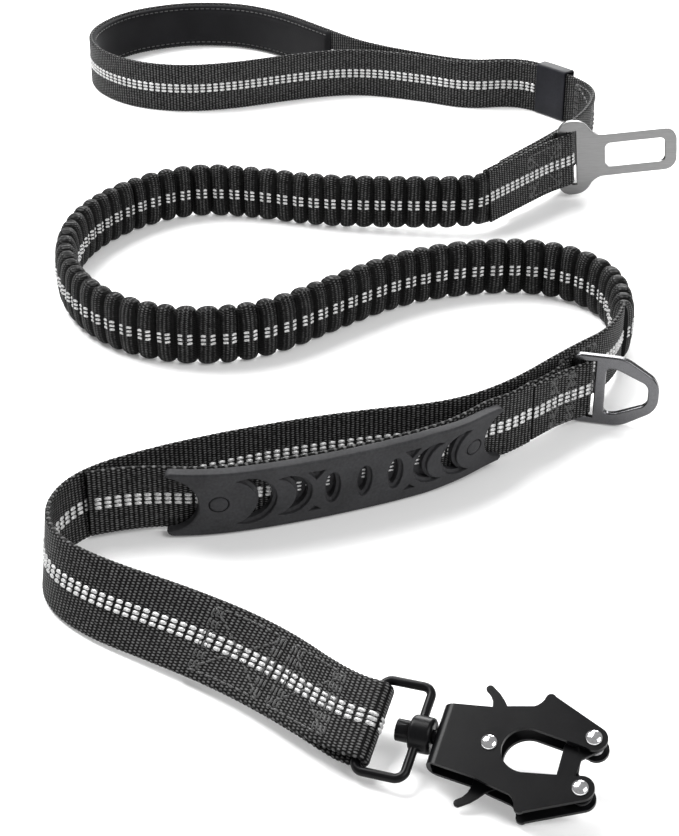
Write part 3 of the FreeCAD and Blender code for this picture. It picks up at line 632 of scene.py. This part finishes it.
def make_fold(name, joint_name, node, yaw, length, body, boxes, wide=WEB_WIDTH):
    """Thinner webbing round a ring's bar, with box-X seams at the distances given from its turn."""
    thick = 2.0 * MM
    joint_row = joint(joint_name)
    band = fold_band(joint_row["pos_m"], joint_row["axis"], yaw, length, wide)
    strip = webbing(name, band, thick=thick, wide=wide)
    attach(strip, body)
    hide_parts(node)
    middle = band.length / 2
    point, _, width, normal = (f[0] for f in band.at([middle]))
    from_bar = point + width * wide / 2 - np.array(joint_row["pos_m"])
    outer = band.face(1 if np.dot(normal, from_bar) > 0 else -1, thick / 2, wide / 2)
    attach(domes(name + "_stripe", outer, dash_marks(0, band.length), REFLECTIVE), body)
    marks = []
    for near, far in boxes:
        marks += box_x(middle + near, middle + far) + box_x(middle - far, middle - near)
    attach(domes(name + "_seam", outer, marks, THREAD), body)


# --- bungee -------------------------------------------------------------------------------------
LOBE = 8.6 * MM
LOBE_RIBS = 5
SLEEVE_MIDDLE = 13.6 * MM


class Ruching:
    """The ruched tube's surface, with uneven lobes from one seeded draw."""

    SEED = 7
    # Millimetres: half the height, half the thickness at the flat ends, and what puffs and pinches add.
    HALF_TALL, HALF_FLAT, DASH_REACH = 13.5, 2.0, 13.0
    PUFF, PINCH_TALL, PINCH_THICK, RIB_DEPTH = 3.1, 2.5, 2.9, 0.26
    # Powers under 1 make the section squarer than an oval.
    TALL_POWER, THICK_POWER = 0.62, 0.8

    def __init__(self, band):
        self.band = band
        draw = random.Random(self.SEED)
        count = round(band.length / LOBE)
        sizes = np.array([draw.uniform(0.88, 1.12) for _ in range(count)])
        self.edges = np.concatenate([[0], np.cumsum(sizes)]) / sizes.sum() * band.length
        self.swell = np.array([draw.uniform(0.85, 1.12) for _ in range(count)])
        self.slant = np.array([draw.uniform(-0.7, 0.7) for _ in range(count)]) * MM

    def lobe(self, along):
        """Which lobe a distance lies in, and how far through it, 0 to 1."""
        k = np.clip(np.searchsorted(self.edges, along, side="right") - 1, 0, len(self.swell) - 1)
        return k, np.clip((along - self.edges[k]) / (self.edges[k + 1] - self.edges[k]), 0, 1)

    def place(self, along, angle):
        """Points, outward normals, crest heights that set painted light (lighter on crests, painted shade in
        the creases), and distances across, for places along and angles round.
        """
        tall = np.cos(angle)
        k, share = self.lobe(along)
        bulge = np.sqrt(1 - (2 * share - 1) ** 2)
        flat_end = 9 * MM
        ends = np.clip(np.minimum(along, self.band.length - along) / flat_end, 0, 1)
        ends = ends * ends * (3 - 2 * ends)
        rib = 0.5 + 0.5 * np.cos(2 * np.pi * LOBE_RIBS * share)
        half_tall = (self.HALF_TALL - self.PINCH_TALL * (1 - bulge) * self.swell[k] * ends) * MM
        puff = ends * (self.PUFF - self.PINCH_THICK * (1 - bulge) * self.swell[k])
        half_thick = (self.HALF_FLAT + puff + self.RIB_DEPTH * rib) * MM
        across = np.sign(tall) * np.abs(tall) ** self.TALL_POWER * half_tall
        out = np.sign(np.sin(angle)) * np.abs(np.sin(angle)) ** self.THICK_POWER * half_thick
        slanted = along + self.slant[k] * tall * np.sin(np.pi * share)
        point, _, width, normal = self.band.at(slanted)
        places = point + width * (SLEEVE_MIDDLE + across)[..., None] + normal * out[..., None]
        outward = unit(width * (tall * 0.4)[..., None] + normal * np.sin(angle)[..., None])
        # Painted light: the third value lightens the colour on ribs and lobe crests and paints shade into
        # the creases between lobes.
        return places, outward, (0.35 + 0.65 * rib) * bulge ** 1.5, across

    def face(self, side):
        """A surface near mid-height of one face, for the dashes."""
        def surface(along, across):
            share = np.abs(across) / (self.DASH_REACH * MM)
            tall = np.sign(across) * share ** (1 / self.TALL_POWER)
            angle = np.arccos(np.clip(tall, -1, 1)) * side
            places, outward, _, _ = self.place(along, angle)
            return places, outward
        return surface

    def skin(self, name, first, last):
        per_lobe, ring = 20, 44
        along = np.linspace(first, last, int((last - first) / LOBE * per_lobe))
        angle = np.linspace(0, 2 * np.pi, ring, endpoint=False)
        grid_along, grid_angle = np.meshgrid(along, angle, indexing="ij")
        places, _, crest, across = self.place(grid_along, grid_angle)
        made = tube(name, places, RUCHED, np.stack([grid_along, across, crest], axis=-1))
        return made

    def marks(self, first, last):
        """Two columns of dashes on each lobe."""
        marks = []
        for a, b in zip(self.edges, self.edges[1:]):
            for share in (0.3, 0.72):
                s = a + (b - a) * share
                if first < s < last:
                    marks += [(s, row, 0.12, 1.15 * MM, 0.7 * MM) for row in DASH_ROWS]
        return marks


def make_bungee():
    """The sleeve and its elastic in two stretches; the far one follows the bungee's slide."""
    band = routed(BUNGEE_ROUTE)
    ruching = Ruching(band)
    split = ruching.edges[np.argmin(np.abs(ruching.edges - band.near((-0.117, 0.077))))]
    for label, first, last in (("far", 0.0, split), ("near", split, band.length)):
        pieces = [ruching.skin("bungee_" + label, first, last),
                  elastic("elastic_" + label, band, first, last)]
        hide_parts("bungee_sleeve")
        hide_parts("bungee_elastic")
        for side, word in ((1, "left"), (-1, "right")):
            pieces.append(domes("bungee_stripe_%s_%s" % (label, word), ruching.face(side),
                                ruching.marks(first, last), REFLECTIVE, 0.8 * MM))
        for made in pieces:
            if label == "far":
                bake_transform(made)
            else:
                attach(made, "lead")


def elastic(name, band, first, last):
    """The flat elastic band inside the sleeve."""
    gap, step = 1 * MM, 2 * MM
    along = np.linspace(first + gap, last - gap, int((last - first) / step))
    ring = flat_section(10.0 * MM, 1.2 * MM, across=5)
    point, _, width, normal = band.at(along)
    places = (point[:, None] + width[:, None] * (SLEEVE_MIDDLE + ring[:, 0])[None, :, None]
              + normal[:, None] * ring[None, :, 1:2])
    made = tube(name, places, ELASTIC)
    return made


# --- lead, swivel end and traffic grip ----------------------------------------------------------
def make_lead():
    """The lead webbing, round the swivel's bar and sewn back on itself."""
    bar = np.array(joint("loop_swing")["pos_m"])
    across = np.array(joint("loop_swing")["axis"])
    ahead = np.array(joint("swivel_spin")["axis"])
    normal = np.cross(ahead, across)
    bar_radius, bar_gap = 1.5 * MM, 0.6 * MM
    reach = bar_radius + bar_gap + WEB_THICK / 2
    edge = bar - across * WEB_WIDTH / 2
    top = edge + normal * reach
    outward = routed(LEAD_ROUTE, [(top - ahead * 9 * MM, across), (top, across)])
    turns = np.radians(np.linspace(0, 180, 25))[1:]
    bend = [edge + normal * reach * math.cos(a) + ahead * reach * math.sin(a) for a in turns]
    tail_length, straight, closing = 74.0 * MM, 9 * MM, 14 * MM
    layer = WEB_THICK + 0.3 * MM
    walked = np.linspace(0, tail_length, 120)[1:]
    point, _, width, out = outward.at(outward.length - walked)
    closed = np.clip((walked - straight) / closing, 0, 1)
    drop = 2 * reach - (2 * reach - layer) * closed
    tail = point + out * tail_side(outward, normal) * drop[:, None]
    lower = np.concatenate([outward.lower, bend, tail])
    widths = np.concatenate([outward.width, np.repeat(across[None], len(bend), 0), width])
    whole = Band(lower, widths)
    strip = webbing("lead_band", whole)
    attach(strip, "lead")
    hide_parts("lead_webbing")
    end = outward.length
    both_faces("lead_stripe", whole, dash_marks(0, end + 8 * MM), REFLECTIVE, "lead")
    marks = box_x(end - 72 * MM, end - 42 * MM) + box_x(end - 38 * MM, end - 12 * MM, bars=4)
    both_faces("lead_seam", whole, marks, THREAD, "lead", sides=(-tail_side(outward, normal),))
    both_faces("ring_end_seam", whole, box_x(38 * MM, 62 * MM), THREAD, "lead")


def tail_side(band, normal):
    """Which side of the band the tail lies on: away from the swivel's upper side."""
    last = band.at([band.length])[3][0]
    return -1 if np.dot(last, normal) > 0 else 1


# The grip is drawn flat, in millimetres from its clip-side tip, and then bent on to the strap.
GRIP_START, GRIP_LENGTH, GRIP_HEIGHT, GRIP_THICK = 18.2, 136.0, 29.0, 4.6
GRIP_RIVETS = (18.5, 120.0)
GRIP_TAPER, GRIP_TAPER_START = 0.175, 100.0


def arc(start, through, end, steps=12):
    """Points from start to end on the circle through a third point, without the last one."""
    (ax, ay), (bx, by), (cx, cy) = start, through, end
    d = 2 * (ax * (by - cy) + bx * (cy - ay) + cx * (ay - by))
    ux = ((ax**2 + ay**2) * (by - cy) + (bx**2 + by**2) * (cy - ay) + (cx**2 + cy**2) * (ay - by)) / d
    uy = ((ax**2 + ay**2) * (cx - bx) + (bx**2 + by**2) * (ax - cx) + (cx**2 + cy**2) * (bx - ax)) / d
    a, b, c = (math.atan2(y - uy, x - ux) for x, y in (start, through, end))
    sweep = (c - a) % (2 * math.pi)
    if (b - a) % (2 * math.pi) > sweep:
        sweep -= 2 * math.pi
    radius = math.hypot(ax - ux, ay - uy)
    return [(ux + radius * math.cos(a + sweep * k / steps), uy + radius * math.sin(a + sweep * k / steps))
            for k in range(steps)]


def crescent(x, tip, height, outer, inner):
    """A hole between two arcs that share their tips; distances along the grip are from x."""
    low, high = (x + tip, -height), (x + tip, height)
    return arc(low, (x + outer, 0), high) + arc(high, (x + inner, 0), low)


def oval(x, wide, tall, steps=24):
    turns = [2 * math.pi * k / steps for k in range(steps)]
    return [(x + wide / 2 * math.cos(a), tall / 2 * math.sin(a)) for a in turns]


def grip_outline():
    """The grip's flat outline, with a swallow-tail notch at each end and soft corners."""
    top, end, cut = GRIP_HEIGHT / 2, GRIP_LENGTH, 12.5
    soft, bulge = 2.5, 0.7
    clip_notch, ring_notch = 11.5, 10.0
    outline = [(soft, -top), (end - soft, -top)]
    outline += arc((end - soft, -top), (end - bulge, -top + bulge), (end, -cut), 4)[1:]
    outline += arc((end, -cut), (end - ring_notch, 0), (end, cut), 20)
    outline += arc((end, cut), (end - bulge, top - bulge), (end - soft, top), 4)
    outline += [(end - soft, top), (soft, top)]
    outline += arc((soft, top), (bulge, top - bulge), (0, cut), 4)[1:]
    outline += arc((0, cut), (clip_notch, 0), (0, -cut), 20)
    outline += arc((0, -cut), (bulge, -top + bulge), (soft, -top), 4)
    return outline


def grip_holes():
    """Crescents, ovals and small triangles along the middle, then the two rivets' holes."""
    holes = [crescent(30, -5.5, 10.2, 9.5, 2.0), crescent(46, -6.2, 8.8, 6.8, 0.6)]
    holes += [crescent(99, 6.2, 8.8, -6.4, -0.4), crescent(112, 6.0, 10.2, -7.5, -0.4)]
    holes += [oval(x, 6.2, 15) for x in (60.5, 73.0, 85.5)]
    for x in (54.0, 92.0):
        holes.append([(x - 3.2, 9.5), (x + 3.2, 9.5), (x, 5.5)])
        holes.append([(x - 2.5, -9.6), (x + 2.5, -9.6), (x, -7.4)])
    holes += [oval(x, 7.3, 7.3) for x in GRIP_RIVETS]
    return holes


def turned(loop, clockwise):
    """The loop, run the way asked for."""
    area_twice = sum(a[0] * b[1] - b[0] * a[1] for a, b in zip(loop, loop[1:] + loop[:1]))
    return loop[::-1] if (area_twice < 0) != clockwise else loop


def inset(loop, distance):
    """A loop moved to its left, mitred at each point."""
    points = np.array(loop)
    ahead = unit(np.roll(points, -1, 0) - points)
    behind = np.roll(ahead, 1, 0)
    left, before = (np.stack([-d[:, 1], d[:, 0]], 1) for d in (ahead, behind))
    mitre = (left + before) / np.maximum(0.35, 1 + np.sum(left * before, 1))[:, None]
    return points + mitre * distance


def back_rings(low, high, rim, flare):
    """The rest of an edge, from the front face's rim to the back; a flare widens the hole behind it."""
    if flare:
        lip, widened, foot = 1.4, 2.0, 0.2
        return [(0.0, high - lip), (-flare, high - widened), (-flare, low + foot), (-flare, low)]
    turns = np.radians([90, 60, 30, 0])
    return [(rim * (1 - math.sin(a)), low + rim * (1 - math.cos(a))) for a in turns]


def slab(loops, low, high, rims, flares):
    """A flat plate's vertices and faces; each loop has its own rim radius and flare behind the front."""
    vertices, faces, caps = [], [], ([], [])
    turns = np.radians([0, 30, 60, 90])
    for index, (loop, rim, flare) in enumerate(zip(loops, rims, flares)):
        loop = turned(loop, index > 0)
        rings = [(rim * (1 - math.sin(a)), high - rim * (1 - math.cos(a))) for a in turns]
        rings += back_rings(low, high, rim, flare)
        base = len(vertices)
        count = len(loop)
        for tuck, z in rings:
            vertices += [(x, y, z) for x, y in inset(loop, tuck)]
        faces += turned_over(ring_faces(len(rings), count, base))
        caps[0].append(list(range(base, base + count)))
        caps[1].append(list(range(base + (len(rings) - 1) * count, base + len(rings) * count)))
    for cap in caps:
        order = [i for ring in cap for i in ring]
        for tri in tessellate_polygon([[Vector(vertices[i]) for i in ring] for ring in cap]):
            faces.append(tuple(order[i] for i in tri))
    return vertices, faces


def make_grip():
    """The traffic handle's strap, the rubber grip on it and the grip's two rivet heads."""
    band = routed(STRAP_ROUTE)
    strap = webbing("grip_strap_band", band)
    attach(strap, "lead")
    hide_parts("grip_strap")
    both_faces("grip_strap_stripe", band, dash_marks(0, band.length), REFLECTIVE, "lead")
    holes = grip_holes()
    windows = len(holes) - len(GRIP_RIVETS)
    loops = [grip_outline()] + holes
    rims = [0.9] + [0.4] * len(holes)
    flares = [0.0] + [1.1] * windows + [0.0] * len(GRIP_RIVETS)
    skin, lift, bend_step = WEB_THICK / MM / 2, 0.3, 3
    vertices, faces = slab(loops, skin + lift, skin + GRIP_THICK, rims, flares)
    grip = piece("traffic_grip", vertices, faces, GRIP)
    edit = bmesh.new()
    edit.from_mesh(grip.data)
    for x in np.arange(bend_step, GRIP_LENGTH, bend_step):
        geometry = edit.verts[:] + edit.edges[:] + edit.faces[:]
        bmesh.ops.bisect_plane(edit, geom=geometry, plane_co=(x, 0, 0), plane_no=(1, 0, 0))
    bmesh.ops.recalc_face_normals(edit, faces=edit.faces)
    edit.to_mesh(grip.data)
    edit.free()
    on_strap(grip, band)
    soften(grip, 30)
    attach(grip, "lead")
    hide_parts("grip_pad")
    rivets = piece("grip_rivet_heads", *joined([rivet_shape(x, skin + GRIP_THICK) for x in GRIP_RIVETS]),
                   RIVET_RUBBER)
    on_strap(rivets, band)
    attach(rivets, "lead")
    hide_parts("grip_rivets")


def on_strap(made, band):
    """Bends a flat piece on to the strap, tapered towards the D-ring."""
    flat = np.array([v.co for v in made.data.vertices], float)
    along = (GRIP_START + GRIP_LENGTH - flat[:, 0]) * MM
    tapered = np.clip((flat[:, 0] - GRIP_TAPER_START) / (GRIP_LENGTH - GRIP_TAPER_START), 0, 1)
    flat[:, 1] *= 1 - GRIP_TAPER * tapered
    point, _, width, normal = band.at(along)
    across, out = WEB_WIDTH / 2 + flat[:, 1] * MM, flat[:, 2] * MM
    places = point + width * across[:, None] + normal * out[:, None]
    made.data.vertices.foreach_set("co", places.astype(np.float32).ravel())
    made.data.update()


def rivet_shape(x, face, steps=32):
    """A flush head with a faint dome, turned round the axis at x."""
    tip, shank = 0.001, 1.6
    profile = [(tip, face + 0.12), (1.6, face + 0.08), (2.9, face - 0.02), (3.3, face - 0.3),
               (3.35, face - 1.3), (shank, face - 1.4), (shank, -2.4), (tip, -2.5)]
    turns = [2 * math.pi * k / steps for k in range(steps)]
    vertices = []
    for radius, z in profile:
        vertices += [(x + radius * math.cos(a), radius * math.sin(a), z) for a in turns]
    return vertices, turned_over(ring_faces(len(profile), steps))


def joined(shapes):
    vertices, faces = [], []
    for shape_vertices, shape_faces in shapes:
        base = len(vertices)
        vertices += shape_vertices
        faces += [tuple(base + i for i in face) for face in shape_faces]
    return vertices, faces


# --- metal pieces from the frame ----------------------------------------------------------------
def modify(made, kind, **values):
    modifier = made.modifiers.new(kind.lower(), kind)
    for key, value in values.items():
        setattr(modifier, key, value)


def soften(made, degrees=35):
    """Smooth shading that keeps true edges crisp."""
    modify(made, "WELD", merge_threshold=1e-6)
    modify(made, "WEIGHTED_NORMAL", keep_sharp=True)
    made.data.polygons.foreach_set("use_smooth", [True] * len(made.data.polygons))
    made.data.set_sharp_from_angle(angle=math.radians(degrees))


def round_rims(made, rim):
    """Smooth shading with every true edge rounded."""
    modify(made, "WELD", merge_threshold=1e-6)
    modify(made, "DECIMATE", decimate_type="DISSOLVE", angle_limit=math.radians(1))
    modify(made, "BEVEL", width=rim, segments=3, limit_method="ANGLE", angle_limit=math.radians(50))
    modify(made, "WEIGHTED_NORMAL", keep_sharp=True)
    made.data.polygons.foreach_set("use_smooth", [True] * len(made.data.polygons))


def dress(node, material, rim=0.0):
    """A material for a piece of the frame, and rounded or crisp edges."""
    made = frame["nodes"][node]
    made.data.materials.clear()
    made.data.materials.append(material)
    if rim:
        round_rims(made, rim)
    else:
        soften(made)


def turned_shape(middle, axis, profile, steps=40):
    """Vertices and faces of a profile (radius, height) turned round an axis through a point."""
    side = unit(np.cross(axis, UP))
    other = np.cross(axis, side)
    vertices = []
    for radius, height in profile:
        for k in range(steps):
            a = 2 * math.pi * k / steps
            vertices.append(middle + axis * height + (side * math.cos(a) + other * math.sin(a)) * radius)
    return vertices, ring_faces(len(profile), steps)


def rivet_profile(shank, face=4.0 * MM, head=2.65 * MM, rise=1.3 * MM):
    """A shank with a domed head beyond each face, from one crown to the other."""
    turns = np.radians([0, 12, 25, 38, 52, 66, 80, 90])
    cap = [(max(head * math.sin(a), 1e-5), face + rise * math.cos(a)) for a in turns] + [(shank, face)]
    return cap + [(radius, -height) for radius, height in reversed(cap)]


def make_rivets():
    """The clip's centre rivet and its two gate rivets, with round domes."""
    upper, lower = (np.array(joint("trigger_%s_squeeze" % w)["pos_m"]) for w in ("upper", "lower"))
    axis = unit(upper - lower)
    middle = (upper + lower) / 2
    centre = [turned_shape(middle, axis, rivet_profile(1.5 * MM))]
    gates = []
    for word in ("upper", "lower"):
        place = np.array(joint("gate_%s_swing" % word)["pos_m"])
        level = np.dot(place - middle, axis)
        gates.append(turned_shape(place - axis * level, axis, rivet_profile(1.8 * MM)))
    for node, shapes in (("centre_rivet", centre), ("gate_rivets", gates)):
        made = piece(node + "_domes", *joined(shapes), POLISHED)
        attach(made, "clip")
        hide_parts(node)


def dress_metal():
    """Materials for the pieces that stay as the frame has them."""
    for node in ("swivel_loop", "swivel_pin", "trigger_upper", "trigger_lower", "gate_upper", "gate_lower"):
        dress(node, BLACK_METAL)
    dress("clip_body", BLACK_METAL, rim=0.3 * MM)
    dress("seat_belt_tongue", SATIN_STEEL)
    dress("d_ring", GUNMETAL)
    dress("grip_washers", POLISHED)
    for node in ("trigger_spring", "gate_springs"):
        dress(node, SPRING)


make_handle()
make_fold("tongue_fold", "tongue_swing", "tongue_webbing", body="handle_end", yaw=224.0,
          length=57.5 * MM, boxes=[(13 * MM, 36 * MM)])
make_bungee()
make_lead()
make_fold("ring_fold", "d_ring_swing", "d_ring_webbing", body="lead", yaw=224.6,
          length=30.0 * MM, boxes=[(14 * MM, 27 * MM)], wide=25.0 * MM)
make_grip()
make_rivets()
dress_metal()
